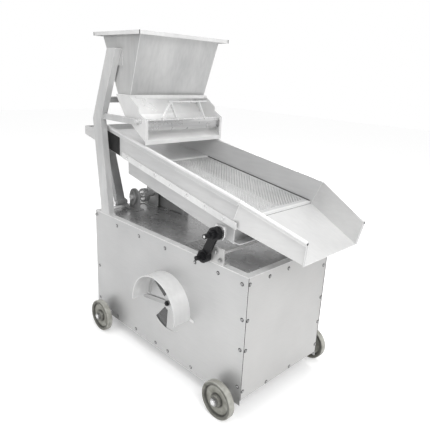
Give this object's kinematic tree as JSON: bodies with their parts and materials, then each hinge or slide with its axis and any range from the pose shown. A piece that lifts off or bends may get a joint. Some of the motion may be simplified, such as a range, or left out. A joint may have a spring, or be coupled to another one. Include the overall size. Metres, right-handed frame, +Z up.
{
  "type": "spice cleaning machine",
  "caption": "Inclined spice cleaning machine: feed hopper over a rocking perforated tray with a discharge chute, on a wheeled steel cabinet that holds the blower and drive.",
  "frame": {"origin": "on the floor under the middle of the machine's overall box", "axes": "+X towards the discharge chute, +Y away from the fan panel, +Z up"},
  "size_m": [1.386, 0.666, 1.401],
  "materials": {
    "sheet": "satin",
    "frame_steel": "satin",
    "deck": "gloss",
    "bright": "gloss",
    "black": "satin",
    "wheel": "matte",
    "motor": "satin",
    "belt": "matte"
  },
  "bodies": {
    "cabinet": {"base_frame": "frame_steel", "bearing_stands": "sheet", "blower_housing": "frame_steel", "discharge_end_panel": "sheet", "drive_belt": "belt", "fan_bearings": "black", "fan_belt": "belt", "fan_pedestal": "frame_steel", "fan_side_panel": "sheet", "far_post": "sheet", "far_side_panel": "sheet", "feed_box": "sheet", "flange_bearings": "black", "front_axle": "bright", "front_plate": "sheet", "hopper_bars": "sheet", "hopper_cleats": "sheet", "hopper_rim": "sheet", "hopper_shell": "sheet", "hub_nuts": "bright", "inlet_hood": "sheet", "leg_feet": "frame_steel", "leg_foot_bolts": "bright", "lower_bolts": "black", "motor": "motor", "near_post": "sheet", "rear_axle": "bright", "rear_end_panel": "sheet", "rocker_base": "sheet", "top_deck": "deck"},
    "wheel_front_near": {"wheel_front_near": "wheel"},
    "wheel_front_far": {"wheel_front_far": "wheel"},
    "wheel_rear_near": {"wheel_rear_near": "wheel"},
    "wheel_rear_far": {"wheel_rear_far": "wheel"},
    "shutter": {"air_shutter": "sheet", "shutter_lever": "bright", "shutter_spindle": "black"},
    "gate": {"gate_shaft": "bright", "gate_arms": "bright", "feed_gate": "sheet"},
    "rocker_near": {"rocker_near": "black"},
    "rocker_far": {"rocker_far": "black", "upper_bolt_far": "bright"},
    "rear_leg_near": {"rear_leg_near": "frame_steel"},
    "rear_leg_far": {"rear_leg_far": "frame_steel"},
    "tray": {"tray_shell": "sheet", "feed_plate": "sheet", "screen": "sheet", "screen_end_strip": "sheet", "clamp_strips": "sheet", "chute": "sheet", "subframe": "sheet", "upper_bolt_near": "bright"},
    "fan": {"impeller": "frame_steel", "fan_shaft": "bright", "fan_pulley": "black"},
    "motor_rotor": {"motor_rotor": "black"},
    "eccentric": {"eccentric_shaft": "bright", "drive_pulley": "black"},
    "rod": {"connecting_rod": "black"}
  },
  "joints": [
    {"name": "wheel_front_near_spin", "type": "hinge", "parent": "cabinet", "child": "wheel_front_near", "pos_m": [0.452, -0.303, 0.0765], "axis": [0, 1, 0], "continuous": true},
    {"name": "wheel_front_far_spin", "type": "hinge", "parent": "cabinet", "child": "wheel_front_far", "pos_m": [0.452, 0.303, 0.0765], "axis": [0, 1, 0], "continuous": true},
    {"name": "wheel_rear_near_spin", "type": "hinge", "parent": "cabinet", "child": "wheel_rear_near", "pos_m": [-0.371, -0.303, 0.0765], "axis": [0, 1, 0], "continuous": true},
    {"name": "wheel_rear_far_spin", "type": "hinge", "parent": "cabinet", "child": "wheel_rear_far", "pos_m": [-0.371, 0.303, 0.0765], "axis": [0, 1, 0], "continuous": true},
    {"name": "shutter_turn", "type": "hinge", "parent": "cabinet", "child": "shutter", "pos_m": [0.082, -0.25, 0.311], "axis": [0, -1, 0], "range_deg": [0, 80]},
    {"name": "gate_swing", "type": "hinge", "parent": "cabinet", "child": "gate", "pos_m": [-0.152, 0, 1.048], "axis": [0, 1, 0], "range_deg": [-3, 24]},
    {"name": "rocker_near_swing", "type": "hinge", "parent": "cabinet", "child": "rocker_near", "pos_m": [0.31, -0.267, 0.607], "axis": [0, 1, 0], "range_deg": [-1.6, 1.6]},
    {"name": "tray_swing", "type": "hinge", "parent": "rocker_near", "child": "tray", "pos_m": [0.361, -0.267, 0.708], "axis": [0, 1, 0], "range_deg": [-1.6, 1.6]},
    {"name": "rocker_far_swing", "type": "hinge", "parent": "cabinet", "child": "rocker_far", "pos_m": [0.31, 0.267, 0.607], "axis": [0, 1, 0], "range_deg": [-1.6, 1.6]},
    {"name": "rear_leg_near_swing", "type": "hinge", "parent": "cabinet", "child": "rear_leg_near", "pos_m": [-0.462, -0.129, 0.612], "axis": [0, 1, 0], "range_deg": [-1, 1]},
    {"name": "rear_leg_far_swing", "type": "hinge", "parent": "cabinet", "child": "rear_leg_far", "pos_m": [-0.462, 0.129, 0.612], "axis": [0, 1, 0], "range_deg": [-1, 1]},
    {"name": "fan_spin", "type": "hinge", "parent": "cabinet", "child": "fan", "pos_m": [0.082, 0, 0.311], "axis": [0, 1, 0], "continuous": true},
    {"name": "motor_spin", "type": "hinge", "parent": "cabinet", "child": "motor_rotor", "pos_m": [-0.215, 0.05, 0.214], "axis": [0, 1, 0], "continuous": true},
    {"name": "eccentric_spin", "type": "hinge", "parent": "cabinet", "child": "eccentric", "pos_m": [-0.404, 0, 0.646], "axis": [0, 1, 0], "continuous": true},
    {"name": "rod_turn", "type": "hinge", "parent": "eccentric", "child": "rod", "pos_m": [-0.401, -0.024, 0.646], "axis": [0, 1, 0], "continuous": true}
  ],
  "couplings": [
    {"joint": "tray_swing", "follows": "rocker_near_swing", "ratio": -0.8995},
    {"joint": "rocker_far_swing", "follows": "rocker_near_swing", "ratio": 1},
    {"joint": "rear_leg_near_swing", "follows": "rocker_near_swing", "ratio": 0.4414},
    {"joint": "rear_leg_far_swing", "follows": "rocker_near_swing", "ratio": 0.4414},
    {"joint": "motor_spin", "follows": "fan_spin", "ratio": 1.41},
    {"joint": "eccentric_spin", "follows": "fan_spin", "ratio": 0.873},
    {"joint": "rod_turn", "follows": "fan_spin", "ratio": -0.873}
  ]
}
